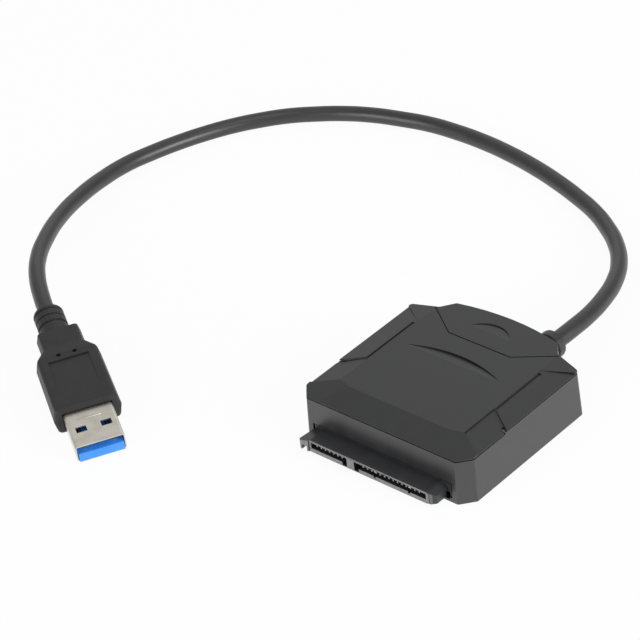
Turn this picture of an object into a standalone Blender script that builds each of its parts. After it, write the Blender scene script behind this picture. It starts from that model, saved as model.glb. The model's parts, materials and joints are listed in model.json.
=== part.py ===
"""USB 3.0 to SATA adapter: faceted drive-end housing, thin cable and USB-A plug.

Units are metres, +Z is up and the housing lies flat on z = 0.
The origin is the middle of the housing's flat base. The drive receptacle looks towards -Y and the
cable leaves towards +Y. Depths with names ending in _DEPTH are counted back from the front wall.
The plug has a frame of its own: its mouth is the origin, +X is forward and +Z is up.
"""
import math

import bmesh
import bpy
from mathutils import Matrix, Vector

# Housing plan, at the seam between tray and lid
FRONT_Y = -0.0240
FRONT_HALF = 0.0221
SIDE_HALF = 0.0249
CHAMFER_DEPTH = 0.0032
SIDE_DEPTH = 0.0413
ROOT_HALF = 0.0176
ROOT_DEPTH = 0.0432
BLOCK_HALF = 0.0151
BLOCK_DEPTH = 0.0466
BLOCK_BULGE = 0.0018
CORNER_ROUND = 0.0007

# Housing heights and walls
TRAY_HEIGHT = 0.0117
SEAM_GAP = 0.00025
FRONT_SEAM_DROP = 0.0004
LID_HEIGHT = 0.0013
DRAFT = 0.0003
END_DRAFT = 0.0003
WALL = 0.0014
FLOOR = 0.0011
LIP_CLEARANCE = 0.0002
LIP_THICKNESS = 0.0010
LIP_DROP = 0.0014

# Facets, grooves and arcs of the lid
RIM_EDGE = 0.0002
SLOPE_DEPTH = 0.0070
SLOPE_HALF = 0.0146
PANEL_HALF = 0.0184
PANEL_FRONT_DEPTH = 0.0080
PANEL_FRONT_RUN = 0.0037
PANEL_REAR_DEPTH = 0.0360
PANEL_REAR_RUN = 0.0043
FRONT_PANEL_DROP = 0.00035
REAR_PANEL_DROP = 0.00005
REAR_CORNER_DROP = 0.0007
GROOVE_WIDTH = 0.0006
GROOVE_DROP = 0.00035
PANEL_GROOVE_WIDTH = 0.0016
PANEL_GROOVE_INSET = 0.00047
PANEL_GROOVE_DROP = 0.00035
PANEL_GROOVE_DEPTH = 0.0186
PANEL_GROOVE_RUN = 0.0042
PANEL_GROOVE_END = 0.0351
BLOCK_GROOVE_HALF = 0.0092
BLOCK_GROOVE_DEPTH = 0.0362
BLOCK_GROOVE_END = (0.0184, 0.0426)
ARC_X = -0.0006
ARC_HALF = 0.0139
ARC_DEPTH = 0.0272
ARC_RISE = 0.0032
ARC_STEP = 0.0005
SMALL_ARC_HALF = 0.0059
SMALL_ARC_DEPTH = 0.0412
SMALL_ARC_RISE = 0.0034
SMALL_ARC_STEP = 0.0003
SMALL_ARC_X = -0.0008

# Circuit board and the posts that clamp it
BOARD_HALF = 0.0213
BOARD_FRONT_DEPTH = 0.0063
BOARD_SIDE_DEPTH = 0.0398
BOARD_TONGUE_HALF = 0.0135
BOARD_TONGUE_DEPTH = 0.0442
BOARD_UNDERSIDE = 0.0018
BOARD_THICKNESS = 0.0012
POST_X = 0.0188
POST_DEPTHS = (0.0112, 0.0355)
POST_RADIUS = 0.0018
PIN_RADIUS = 0.0010
PIN_TOP = 0.0065
PIN_CLEARANCE = 0.00012
SEAT_GAP = 0.00008

# Parts on the board: half width, half length and height, then their place
CHIP_SIZE = (0.0045, 0.0045, 0.0014)
CHIP_PLACE = (0.0015, 0.0200)
FLASH_SIZE = (0.0025, 0.0020, 0.0016)
FLASH_PLACE = (-0.0105, 0.0165)
REGULATOR_SIZE = (0.0033, 0.0018, 0.0017)
REGULATOR_PLACE = (-0.0120, 0.0275)
CRYSTAL_SIZE = (0.0055, 0.0023, 0.0035)
CRYSTAL_PLACE = (0.0120, 0.0270)
INDUCTOR_SIZE = (0.0030, 0.0030, 0.0028)
INDUCTOR_PLACE = (-0.0030, 0.0300)
CAPACITOR_RADIUS = 0.0025
CAPACITOR_HEIGHT = 0.0054
CAPACITOR_PLACE = (0.0125, 0.0125)

# SATA receptacle
CONTACT_PITCH = 0.00127
SIGNAL_FIRST_X = -0.015875
SIGNAL_COUNT = 7
POWER_FIRST_X = -0.001905
POWER_COUNT = 15
LONG_POWER_CONTACTS = (4, 12)
MOUTH_LEFT = -0.0182
MOUTH_RIGHT = 0.0179
MOUTH_BOTTOM = 0.00125
MOUTH_HEIGHT = 0.0032
MOUTH_REACH = 0.0053
MOUTH_ROUND = 0.0007
SLOT_FLOOR = 0.0011
SLOT_HEIGHT = 0.00157
SIGNAL_SLOT = (-0.0172, -0.0064)
POWER_SLOT = (-0.0042, 0.0171)
KEY_WIDTH = 0.00138
KEY_LIP = 0.00025
RIB_WIDTH = 0.0004
RIB_DROP = 0.00045
NOTCH_HALF = 0.0003
NOTCH_DROP = 0.0005
NOTCH_RUN = 0.0012
WING_HALF = 0.0203
WING_HEIGHT = 0.0035
WING_START = -0.0002
BODY_DEPTH = 0.0060
TUNNEL_HEIGHT = 0.0006
LEFT_EAR_WIDTH = 0.0028
LEFT_EAR_REACH = 0.0056
LEFT_EAR_NOSE = 0.0006
LEFT_EAR_SLOT = (-0.0199, -0.0184)
LEFT_EAR_SLOT_HEIGHT = 0.0013
RIGHT_EAR_WIDTH = 0.0013
RIGHT_EAR_REACH = 0.0051
RIGHT_EAR_NOSE = 0.0011
EAR_INNER_HEIGHT = 0.0030
EAR_OUTER_HEIGHT = 0.0022
POCKET_SPAN = (0.0184, 0.0200)
POCKET_REACH = 0.0008
POCKET_TOP = 0.0023
POCKET_FLOOR = 0.0006
WINDOW_HALF = 0.0207
WINDOW_CLEARANCE = 0.0003
CONTACT_WIDTH = 0.0007
CONTACT_THICKNESS = 0.0002
CONTACT_FLOOR_GAP = 0.0001
CONTACT_SETBACK = 0.0011
LONG_CONTACT_SETBACK = 0.0004
CONTACT_DIP = 0.0007
CONTACT_TAIL = 0.0020

# Power jack on the rear wall
JACK_X = -0.0092
JACK_HALF = 0.0045
JACK_LENGTH = 0.0134
JACK_HEIGHT = 0.0086
JACK_FACE_DEPTH = 0.0468
JACK_BORE_RADIUS = 0.0032
JACK_BORE_LENGTH = 0.0098
JACK_PIN_RADIUS = 0.00105
JACK_PIN_SETBACK = 0.0010
JACK_CLEARANCE = 0.0003
JACK_SPRING_HALF = 0.0008
JACK_SPRING_THICKNESS = 0.0003
JACK_SPRING_BOW = 0.0006

# Cable and the grommet in the rear wall
CABLE_DIAMETER = 0.0043
CABLE_X = 0.0092
CABLE_HEIGHT = 0.0076
CABLE_GAP = 0.0003
CABLE_STEP = 0.0098
GROMMET_RADIUS = 0.0036
GROMMET_NECK_RADIUS = 0.0027
GROMMET_FACE_DEPTH = 0.0500
GROMMET_END_DEPTH = 0.0528
GROMMET_ROUND = 0.0009
GROMMET_INNER_DEPTH = 0.0443
GROMMET_CLEARANCE = 0.0003

# USB plug, along its own axes
PLUG_PLACE = (-0.05848, -0.05679, 0.00272)
PLUG_YAW = math.radians(-31.88)
PLUG_NOSE_DOWN = math.radians(6.5)
PLUG_ROLL = math.radians(2.5)
SHELL_HALF = 0.0060
SHELL_HALF_HEIGHT = 0.00225
SHELL_SHEET = 0.0003
SHELL_REACH = 0.0120
SHELL_CLEARANCE = 0.00015
SHELL_BURIED = 0.0038
SHELL_ROUND = 0.0006
WINDOW_PLACE = (0.00555, 0.00305)
WINDOW_SIZE = (0.0019, 0.0026)
TONGUE_HALF = 0.0055
TONGUE_THICKNESS = 0.0018
TONGUE_LIP = 0.00025
TONGUE_CHAMFER = 0.0003
TONGUE_BLOCK_LENGTH = 0.0045
MOULD_HALF = 0.0083
MOULD_HALF_HEIGHT = 0.0036
MOULD_SIDE_DRAFT = 0.0007
MOULD_ROUND = 0.0010
MOULD_BEVEL = 0.0007
MOULD_SHOULDER = 0.0315
MOULD_SHOULDER_HALF = 0.0081
MOULD_SHOULDER_HALF_HEIGHT = 0.0034
MOULD_NECK_START = 0.0356
MOULD_NECK_END = 0.0424
MOULD_NECK_HALF = 0.0056
MOULD_NECK_HALF_HEIGHT = 0.0030
PANEL_LENGTH = (0.0170, 0.0300)
PANEL_WIDTH_HALF = 0.0050
PANEL_SINK = 0.0005
DIMPLE_PLACE = (0.0317, 0.0020)
DIMPLE_RADIUS = 0.0006
DIMPLE_SINK = 0.0008
RELIEF_RADIUS = 0.0036
RELIEF_RING_RADIUS = 0.0038
RELIEF_GROOVE_RADIUS = 0.0032
RELIEF_FLATTENING = 0.84
RELIEF_OFFSET = -0.0005
RELIEF_END = 0.0519
RELIEF_GROOVE_START = 0.0452
RELIEF_GROOVES = 3
RELIEF_GROOVE_PITCH = 0.00235
RELIEF_GROOVE = 0.0005
USB_CONTACT_X = (0.0035, 0.0010, -0.0010, -0.0035)
USB_CONTACT_HALF = 0.0005
USB_CONTACT_END = 0.0086
USB_CONTACT_STARTS = (0.0017, 0.0027, 0.0027, 0.0017)
SPEED_CONTACT_X = (0.0040, 0.0020, 0.0, -0.0020, -0.0040)
SPEED_CONTACT_HALF = 0.0004
SPEED_CONTACT_SPAN = (0.0094, 0.0108)
PLUG_CONTACT_THICKNESS = 0.00015

# Levels worked out from the sizes above
LID_Z = TRAY_HEIGHT + SEAM_GAP
TOP_Z = LID_Z + LID_HEIGHT
BOARD_TOP = BOARD_UNDERSIDE + BOARD_THICKNESS
MOUTH_TOP = MOUTH_BOTTOM + MOUTH_HEIGHT
SLOT_BOTTOM = MOUTH_BOTTOM + SLOT_FLOOR
SLOT_TOP = SLOT_BOTTOM + SLOT_HEIGHT
TUNNEL_BOTTOM = SLOT_TOP - TUNNEL_HEIGHT
REAR_DEPTH = BLOCK_DEPTH + BLOCK_BULGE
REACH_PAST = 0.0030

# The cable's own points between grommet and plug, chosen by hand: x, y, height of its middle
CABLE_ROUTE = (
    (0.0092, 0.0355, 0.0075),
    (0.0086, 0.0422, 0.00695),
    (0.0068, 0.0504, 0.0061),
    (0.0037, 0.0590, 0.00505),
    (-0.0013, 0.0677, 0.004),
    (-0.0079, 0.0751, 0.00315),
    (-0.0146, 0.0804, 0.0026),
    (-0.0218, 0.0848, 0.0023),
    (-0.0293, 0.0880, 0.00218),
    (-0.0384, 0.0911, 0.00218),
    (-0.0481, 0.0937, 0.00218),
    (-0.0578, 0.0955, 0.00218),
    (-0.0672, 0.0965, 0.00218),
    (-0.0764, 0.0966, 0.00218),
    (-0.0852, 0.0959, 0.00218),
    (-0.0934, 0.094, 0.00218),
    (-0.1012, 0.0916, 0.00218),
    (-0.1085, 0.0882, 0.00218),
    (-0.1151, 0.0839, 0.00218),
    (-0.121, 0.0792, 0.00218),
    (-0.1261, 0.0736, 0.00218),
    (-0.1307, 0.0673, 0.00218),
    (-0.1345, 0.0603, 0.00222),
    (-0.1374, 0.0529, 0.0024),
    (-0.1396, 0.0449, 0.0027),
    (-0.1409, 0.0364, 0.0032),
    (-0.1403, 0.0264, 0.004),
    (-0.1379, 0.0161, 0.0052),
    (-0.1336, 0.0049, 0.0067),
    (-0.1269, -0.0069, 0.00837),
    (-0.1215, -0.0144, 0.00921),
    (-0.1152, -0.0209, 0.0096),
)

PARTS = "usb_to_sata_adapter"
CUTTERS = "cutters"


def clear_scene():
    """Empty the file and make the two collections."""
    for obj in list(bpy.data.objects):
        bpy.data.objects.remove(obj, do_unlink=True)
    for name in (PARTS, CUTTERS):
        old = bpy.data.collections.get(name)
        if old:
            bpy.data.collections.remove(old)
        bpy.context.scene.collection.children.link(bpy.data.collections.new(name))


def material(name, color, roughness, metallic=0.0):
    """A Principled material, made once for each name."""
    found = bpy.data.materials.get(name)
    if found:
        return found
    made = bpy.data.materials.new(name)
    made.use_nodes = True
    shader = made.node_tree.nodes["Principled BSDF"]
    shader.inputs["Base Color"].default_value = (*color, 1.0)
    shader.inputs["Roughness"].default_value = roughness
    shader.inputs["Metallic"].default_value = metallic
    made.diffuse_color = (*color, 1.0)
    return made


def black_plastic():
    return material("black_plastic", (0.045, 0.046, 0.048), 0.55)


def connector_plastic():
    return material("connector_plastic", (0.035, 0.036, 0.038), 0.5)


def blue_plastic():
    return material("blue_plastic", (0.03, 0.16, 0.80), 0.4)


def gold():
    return material("gold", (0.90, 0.66, 0.28), 0.3, 1.0)


def steel():
    return material("steel", (0.62, 0.60, 0.56), 0.3, 1.0)


def board_green():
    return material("board_green", (0.02, 0.13, 0.06), 0.5)


def chip_black():
    return material("chip_black", (0.02, 0.02, 0.022), 0.6)


def tin():
    return material("tin", (0.70, 0.70, 0.70), 0.35, 1.0)


def rubber():
    return material("cable_rubber", (0.030, 0.031, 0.033), 0.5)


def add_mesh(name, bm, surface, collection=PARTS):
    """Turn a bmesh into a named object and free it."""
    bmesh.ops.recalc_face_normals(bm, faces=bm.faces)
    mesh = bpy.data.meshes.new(name)
    bm.to_mesh(mesh)
    bm.free()
    obj = bpy.data.objects.new(name, mesh)
    bpy.data.collections[collection].objects.link(obj)
    if surface:
        mesh.materials.append(surface)
    if collection == CUTTERS:
        obj.hide_render = True
        obj.display_type = "WIRE"
    return obj


def loft(name, rings, surface=None, collection=PARTS, ring_closed=False):
    """One closed skin through rings of equal count, ending in flat faces or joined end to end."""
    bm = bmesh.new()
    loops = [[bm.verts.new(point) for point in ring] for ring in rings]
    pairs = list(zip(loops, loops[1:]))
    if ring_closed:
        pairs.append((loops[-1], loops[0]))
    for low, high in pairs:
        for i in range(len(low)):
            j = (i + 1) % len(low)
            bm.faces.new((low[i], low[j], high[j], high[i]))
    if not ring_closed:
        bm.faces.new(list(reversed(loops[0])))
        bm.faces.new(loops[-1])
    return add_mesh(name, bm, surface, collection)


def slab(name, outline, axis, start, end, surface=None, collection=PARTS):
    """A flat outline extruded along X, Y or Z; it is given in the two other axes, in order."""
    def place(point, along):
        if axis == "X":
            return (along, point[0], point[1])
        if axis == "Y":
            return (point[0], along, point[1])
        return (point[0], point[1], along)
    rings = [[place(point, along) for point in outline] for along in (start, end)]
    return loft(name, rings, surface, collection)


def box(name, low, high, surface=None, collection=PARTS):
    """A cube primitive stretched between two corners."""
    bm = bmesh.new()
    bmesh.ops.create_cube(bm, size=1.0)
    size = [b - a for a, b in zip(low, high)]
    middle = [(a + b) / 2 for a, b in zip(low, high)]
    bmesh.ops.scale(bm, vec=size, verts=bm.verts)
    bmesh.ops.translate(bm, vec=middle, verts=bm.verts)
    return add_mesh(name, bm, surface, collection)


def cylinder(name, base, top, radius, surface=None, collection=PARTS, segments=20):
    """A cylinder primitive between two points on its axis."""
    base = Vector(base)
    run = Vector(top) - base
    turn = Vector((0, 0, 1)).rotation_difference(run).to_matrix().to_4x4()
    bm = bmesh.new()
    bmesh.ops.create_cone(bm, cap_ends=True, segments=segments, radius1=radius, radius2=radius,
                          depth=run.length, matrix=Matrix.Translation(base + run / 2) @ turn)
    return add_mesh(name, bm, surface, collection)


def turned(name, profile, axis_matrix, surface=None, collection=PARTS, segments=24):
    """A profile of (radius, height) points, top to bottom, revolved by a Screw modifier."""
    mesh = bpy.data.meshes.new(name)
    edges = [(i, i + 1) for i in range(len(profile) - 1)]
    mesh.from_pydata([(radius, 0.0, height) for radius, height in profile], edges, [])
    if surface:
        mesh.materials.append(surface)
    obj = bpy.data.objects.new(name, mesh)
    bpy.data.collections[collection].objects.link(obj)
    obj.matrix_world = axis_matrix
    screw = obj.modifiers.new("turn", "SCREW")
    screw.steps = segments
    screw.render_steps = segments
    screw.use_merge_vertices = True
    screw.merge_threshold = 0.00001
    if collection == CUTTERS:
        obj.hide_render = True
        obj.display_type = "WIRE"
    return obj


def combine(obj, others, operation):
    """Add one exact Boolean for each other object."""
    for other in others:
        change = obj.modifiers.new(other.name, "BOOLEAN")
        change.operation = operation
        change.solver = "EXACT"
        change.object = other
    return obj


def cut(obj, cutters):
    return combine(obj, cutters, "DIFFERENCE")


def join(obj, pieces):
    return combine(obj, pieces, "UNION")


def round_outline(points, radius, steps=2):
    """Replace each real corner of an outline by a short curve."""
    rounded = []
    count = len(points)
    for i, point in enumerate(points):
        corner = Vector(point)
        before = Vector(points[i - 1]) - corner
        after = Vector(points[(i + 1) % count]) - corner
        turn = math.pi - before.angle(after)
        if turn < math.radians(20):
            rounded.append(corner)
            continue
        reach = min(radius * math.tan(turn / 2), 0.4 * before.length, 0.4 * after.length)
        start = corner + before.normalized() * reach
        end = corner + after.normalized() * reach
        for step in range(steps + 1):
            t = step / steps
            rounded.append(start * (1 - t) ** 2 + corner * 2 * t * (1 - t) + end * t ** 2)
    return rounded


def grow_outline(points, distance):
    """Move an anticlockwise outline outwards, or inwards for a negative distance."""
    grown = []
    count = len(points)
    for i, point in enumerate(points):
        point = Vector(point)
        first = (point - Vector(points[i - 1])).normalized()
        second = (Vector(points[(i + 1) % count]) - point).normalized()
        out_first = Vector((first.y, -first.x))
        out_second = Vector((second.y, -second.x))
        corner = (out_first + out_second) / (1 + out_first.dot(out_second))
        grown.append(point + corner * distance)
    return grown


def depth(value):
    """World Y of a depth counted back from the front wall."""
    return FRONT_Y + value


def wall_outline(grow=0.0):
    """Plan of the housing's wall at the seam, anticlockwise, with its corners rounded."""
    right = [(FRONT_HALF, 0.0), (SIDE_HALF, CHAMFER_DEPTH), (SIDE_HALF, SIDE_DEPTH), (ROOT_HALF, ROOT_DEPTH)]
    steps = 8
    bulge = []
    for i in range(steps + 1):
        x = BLOCK_HALF * (1 - 2 * i / steps)
        bulge.append((x, BLOCK_DEPTH + BLOCK_BULGE * (1 - (x / BLOCK_HALF) ** 2)))
    left = [(-x, back) for x, back in reversed(right)]
    points = [(x, depth(back)) for x, back in right + bulge + left]
    return round_outline(grow_outline(points, grow), CORNER_ROUND)


def ring(outline, height):
    return [(point[0], point[1], height) for point in outline]


def sloped_prism(name, outline, floor, top):
    """A cutter with upright walls whose floor follows floor(x, y)."""
    low = [(x, y, floor(x, y)) for x, y in outline]
    high = [(x, y, top) for x, y in outline]
    return loft(name, [low, high], collection=CUTTERS)


def plane_cutter(name, first, second, third, reach):
    """A cutter that takes away everything above the plane through three points."""
    first, second, third = Vector(first), Vector(second), Vector(third)
    normal = (second - first).cross(third - first).normalized()
    if normal.z < 0:
        normal.negate()
    turn = Vector((0, 0, 1)).rotation_difference(normal).to_matrix().to_4x4()
    middle = (first + second + third) / 3 + normal * reach
    bm = bmesh.new()
    bmesh.ops.create_cube(bm, size=2 * reach, matrix=Matrix.Translation(middle) @ turn)
    return add_mesh(name, bm, None, CUTTERS)


def groove_cutter(name, path, width, drop):
    """A V-shaped cutter along a path of surface points, with its corners mitred."""
    rise = 3 * drop
    rings = []
    for i, point in enumerate(path):
        ahead = Vector(path[min(i + 1, len(path) - 1)][:2]) - Vector(point[:2])
        behind = Vector(point[:2]) - Vector(path[max(i - 1, 0)][:2])
        ahead = ahead.normalized() if ahead.length else behind.normalized()
        behind = behind.normalized() if behind.length else ahead
        side = Vector((ahead.y + behind.y, -ahead.x - behind.x)) / (1 + ahead.dot(behind))
        section = []
        for share, height in ((-0.5, rise), (-0.2, -drop), (0.2, -drop), (0.5, rise)):
            spread = side * width * share
            section.append((point[0] + spread.x, point[1] + spread.y, point[2] + height))
        rings.append(section)
    return loft(name, rings, collection=CUTTERS)


def arc_step_cutter(name, middle_x, half, start_depth, rise, step):
    """The region in front of an arc, tilted so that its step fades out at both ends."""
    radius = (half ** 2 + rise ** 2) / (2 * rise)
    sweep = math.asin(half / radius)
    count = 12
    outline = []
    for i in range(count + 1):
        angle = sweep * (1 - 2 * i / count)
        outline.append((middle_x + radius * math.sin(angle),
                        depth(start_depth) + radius * math.cos(angle) - radius + rise))

    def floor(x, y):
        return TOP_Z - step * (y - depth(start_depth)) / rise
    return sloped_prism(name, outline, floor, TOP_Z + REACH_PAST)


def panel_floor(x, inner, outer):
    """Height of a sloping side panel at a distance from the middle, from its inner and outer height."""
    return inner + (outer - inner) * (abs(x) - PANEL_HALF) / (SIDE_HALF - PANEL_HALF)


def front_panel_floor(x):
    return panel_floor(x, TOP_Z - FRONT_PANEL_DROP, LID_Z - FRONT_SEAM_DROP + RIM_EDGE)


def rear_panel_floor(x):
    return panel_floor(x, TOP_Z - REAR_PANEL_DROP, LID_Z + RIM_EDGE)


def side_panel_cutters(side):
    """The low front part and the higher rear part of one side panel."""
    outer = SIDE_HALF + REACH_PAST
    stretch = (outer - PANEL_HALF) / (SIDE_HALF - PANEL_HALF)
    ends = [(PANEL_FRONT_DEPTH, -PANEL_FRONT_RUN), (PANEL_GROOVE_DEPTH, -PANEL_GROOVE_RUN),
            (PANEL_REAR_DEPTH, PANEL_REAR_RUN)]
    cutters = []
    for i, floor in enumerate((front_panel_floor, rear_panel_floor)):
        (start, start_run), (end, end_run) = ends[i], ends[i + 1]
        outline = [(side * PANEL_HALF, depth(start)), (side * outer, depth(start + start_run * stretch)),
                   (side * outer, depth(end + end_run * stretch)), (side * PANEL_HALF, depth(end))]
        cutters.append(sloped_prism(f"panel_cut_{i}_{side}", outline, lambda x, y, at=floor: at(x),
                                    TOP_Z + REACH_PAST))
    return cutters


def panel_groove_cutter(side):
    """The groove along the inner and front edge of the rear panel."""
    inner = PANEL_HALF + PANEL_GROOVE_INSET
    outer = SIDE_HALF + PANEL_GROOVE_WIDTH
    run = PANEL_GROOVE_RUN / (SIDE_HALF - PANEL_HALF)
    path = [(side * inner, depth(PANEL_GROOVE_END), rear_panel_floor(inner)),
            (side * inner, depth(PANEL_GROOVE_DEPTH - run * PANEL_GROOVE_INSET), rear_panel_floor(inner)),
            (side * outer, depth(PANEL_GROOVE_DEPTH - run * (outer - PANEL_HALF)),
             rear_panel_floor(outer) - FRONT_SEAM_DROP / 2)]
    return groove_cutter(f"panel_groove_{side}", path, PANEL_GROOVE_WIDTH, PANEL_GROOVE_DROP)


def corner_cutters(side):
    """The front corner facet and the drooping rear corner of one side."""
    front = plane_cutter(f"front_corner_{side}",
                         (side * SLOPE_HALF, depth(SLOPE_DEPTH), TOP_Z),
                         (side * PANEL_HALF, depth(PANEL_FRONT_DEPTH), TOP_Z),
                         (side * (FRONT_HALF + CHAMFER_DEPTH / 4), depth(CHAMFER_DEPTH / 3),
                          LID_Z - FRONT_SEAM_DROP + RIM_EDGE),
                         SIDE_HALF / 2)
    rear = plane_cutter(f"rear_corner_{side}",
                        (side * PANEL_HALF, depth(PANEL_REAR_DEPTH), TOP_Z),
                        (side * ROOT_HALF, depth(ROOT_DEPTH), TOP_Z),
                        (side * SIDE_HALF, depth(SIDE_DEPTH), TOP_Z - REAR_CORNER_DROP),
                        SIDE_HALF / 2)
    return [front, rear]


def front_slope_cutter():
    rim = LID_Z - FRONT_SEAM_DROP + RIM_EDGE
    ahead = REACH_PAST
    past = (TOP_Z - rim) * ahead / SLOPE_DEPTH
    outline = [(depth(-ahead), rim - past),
               (depth(SLOPE_DEPTH + ahead), TOP_Z + past),
               (depth(-ahead), TOP_Z + REACH_PAST)]
    side = SIDE_HALF + REACH_PAST
    return slab("front_slope", outline, "X", -side, side, collection=CUTTERS)


def post_places():
    return [(side * POST_X, depth(back)) for back in POST_DEPTHS for side in (-1, 1)]


def make_top_cover():
    """The faceted lid: plate, locating lip and four sockets for the tray's pins."""
    seam = wall_outline()
    lip_out = wall_outline(-WALL - LIP_CLEARANCE)
    lip_in = wall_outline(-WALL - LIP_CLEARANCE - LIP_THICKNESS)
    lip_bottom = LID_Z - SEAM_GAP - LIP_DROP
    rings = [ring(lip_in, LID_Z), ring(lip_in, lip_bottom), ring(lip_out, lip_bottom),
             ring(lip_out, LID_Z), ring(seam, LID_Z), ring(seam, TOP_Z)]
    cover = loft("top_cover", rings, black_plastic())
    socket_foot = BOARD_TOP + SEAT_GAP
    sockets = []
    bores = []
    for i, (x, y) in enumerate(post_places()):
        sockets.append(cylinder(f"socket_{i}", (x, y, socket_foot), (x, y, LID_Z + LID_HEIGHT / 2),
                                POST_RADIUS, collection=CUTTERS))
        bores.append(cylinder(f"socket_bore_{i}", (x, y, socket_foot - REACH_PAST),
                              (x, y, PIN_TOP + CABLE_GAP), PIN_RADIUS + PIN_CLEARANCE, collection=CUTTERS))
    seam_step = depth(PANEL_GROOVE_DEPTH - PANEL_GROOVE_RUN)
    skirt = slab("front_skirt", seam, "Z", LID_Z - FRONT_SEAM_DROP, LID_Z + LID_HEIGHT / 2,
                 collection=CUTTERS)
    behind = box("behind_skirt", (-SIDE_HALF - REACH_PAST, seam_step - SEAM_GAP, 0.0),
                 (SIDE_HALF + REACH_PAST, depth(REAR_DEPTH + REACH_PAST), TOP_Z), collection=CUTTERS)
    join(cover, sockets + [cut(skirt, [behind])])
    lip_gap = box("lip_gap", (-ROOT_HALF, depth(BOARD_SIDE_DEPTH), lip_bottom - REACH_PAST),
                  (ROOT_HALF, depth(REAR_DEPTH), LID_Z), collection=CUTTERS)
    groove_path = [(side * x, depth(back), TOP_Z) for side, x, back in (
        (-1, *BLOCK_GROOVE_END), (-1, BLOCK_GROOVE_HALF, BLOCK_GROOVE_DEPTH),
        (1, BLOCK_GROOVE_HALF, BLOCK_GROOVE_DEPTH), (1, *BLOCK_GROOVE_END))]
    cutters = bores + [lip_gap, front_slope_cutter()] + corner_cutters(-1) + corner_cutters(1)
    cutters += side_panel_cutters(-1) + side_panel_cutters(1)
    cutters += [panel_groove_cutter(-1), panel_groove_cutter(1)]
    cutters.append(groove_cutter("block_groove", groove_path, GROOVE_WIDTH, GROOVE_DROP))
    cutters.append(arc_step_cutter("arc_step", ARC_X, ARC_HALF, ARC_DEPTH, ARC_RISE, ARC_STEP))
    cutters.append(arc_step_cutter("small_arc_step", SMALL_ARC_X, SMALL_ARC_HALF, SMALL_ARC_DEPTH,
                                   SMALL_ARC_RISE, SMALL_ARC_STEP))
    return cut(cover, cutters)


def make_bottom_shell():
    """The drafted tray, with the receptacle's window, two rear openings and the board's posts."""
    length = REAR_DEPTH + 2 * END_DRAFT
    base = [(x, depth(REAR_DEPTH / 2) + (y - depth(REAR_DEPTH / 2)) * length / REAR_DEPTH)
            for x, y in wall_outline(DRAFT)]
    seam = wall_outline()
    inner_top = wall_outline(-WALL)
    inner_foot = wall_outline(-WALL + DRAFT / 2)
    rings = [ring(base, 0.0), ring(seam, TRAY_HEIGHT), ring(inner_top, TRAY_HEIGHT), ring(inner_foot, FLOOR)]
    tray = loft("bottom_shell", rings, black_plastic())
    posts = []
    for i, (x, y) in enumerate(post_places()):
        profile = [(0.0, PIN_TOP), (PIN_RADIUS, PIN_TOP), (PIN_RADIUS, BOARD_UNDERSIDE - SEAT_GAP),
                   (POST_RADIUS, BOARD_UNDERSIDE - SEAT_GAP), (POST_RADIUS, FLOOR / 2), (0.0, FLOOR / 2)]
        posts.append(turned(f"post_{i}", profile, Matrix.Translation((x, y, 0.0)),
                            collection=CUTTERS, segments=16))
    join(tray, posts)
    window = box("window", (-WINDOW_HALF, depth(-REACH_PAST), FLOOR),
                 (WINDOW_HALF, depth(WALL + REACH_PAST), MOUTH_BOTTOM + WING_HEIGHT + WINDOW_CLEARANCE),
                 collection=CUTTERS)
    jack_half = JACK_HALF + JACK_CLEARANCE
    jack_cut = box("jack_cut",
                   (JACK_X - jack_half, depth(BLOCK_DEPTH - WALL - REACH_PAST), BOARD_TOP - JACK_CLEARANCE),
                   (JACK_X + jack_half, depth(REAR_DEPTH + REACH_PAST), TRAY_HEIGHT + REACH_PAST),
                   collection=CUTTERS)
    step_end = depth(PANEL_GROOVE_DEPTH - PANEL_GROOVE_RUN)
    seam_drop = box("seam_drop", (-SIDE_HALF - REACH_PAST, depth(-REACH_PAST), TRAY_HEIGHT - FRONT_SEAM_DROP),
                    (SIDE_HALF + REACH_PAST, step_end, TRAY_HEIGHT + REACH_PAST), collection=CUTTERS)
    pocket = window_pocket("tray_pocket", depth(-REACH_PAST), POCKET_FLOOR)
    return cut(tray, [window, pocket, seam_drop, jack_cut, grommet_slot(GROMMET_CLEARANCE, REACH_PAST)])


def slot_outline(radius, top):
    """A round-bottomed slot in the rear wall, open upwards, as (x, z) points."""
    steps = 10
    points = [(CABLE_X + radius, top), (CABLE_X - radius, top)]
    for i in range(steps + 1):
        angle = math.pi * (1 + i / steps)
        points.append((CABLE_X + radius * math.cos(angle), CABLE_HEIGHT + radius * math.sin(angle)))
    return points


def grommet_slot(clearance, past):
    outline = slot_outline(GROMMET_NECK_RADIUS + clearance, TRAY_HEIGHT + past)
    return slab("grommet_slot", outline, "Y", depth(BLOCK_DEPTH - WALL - past), depth(REAR_DEPTH + past),
                collection=CUTTERS)


def make_circuit_board():
    """The board, narrowed at the rear and drilled for the tray's pins."""
    right = [(BOARD_HALF, BOARD_FRONT_DEPTH), (BOARD_HALF, BOARD_SIDE_DEPTH),
             (BOARD_TONGUE_HALF, BOARD_SIDE_DEPTH), (BOARD_TONGUE_HALF, BOARD_TONGUE_DEPTH)]
    left = [(-x, back) for x, back in reversed(right)]
    outline = [(x, depth(back)) for x, back in right + left]
    board = slab("circuit_board", outline, "Z", BOARD_UNDERSIDE, BOARD_TOP, board_green())
    holes = [cylinder(f"board_hole_{i}", (x, y, 0.0), (x, y, BOARD_TOP + REACH_PAST),
                      PIN_RADIUS + PIN_CLEARANCE, collection=CUTTERS)
             for i, (x, y) in enumerate(post_places())]
    return cut(board, holes)


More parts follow.
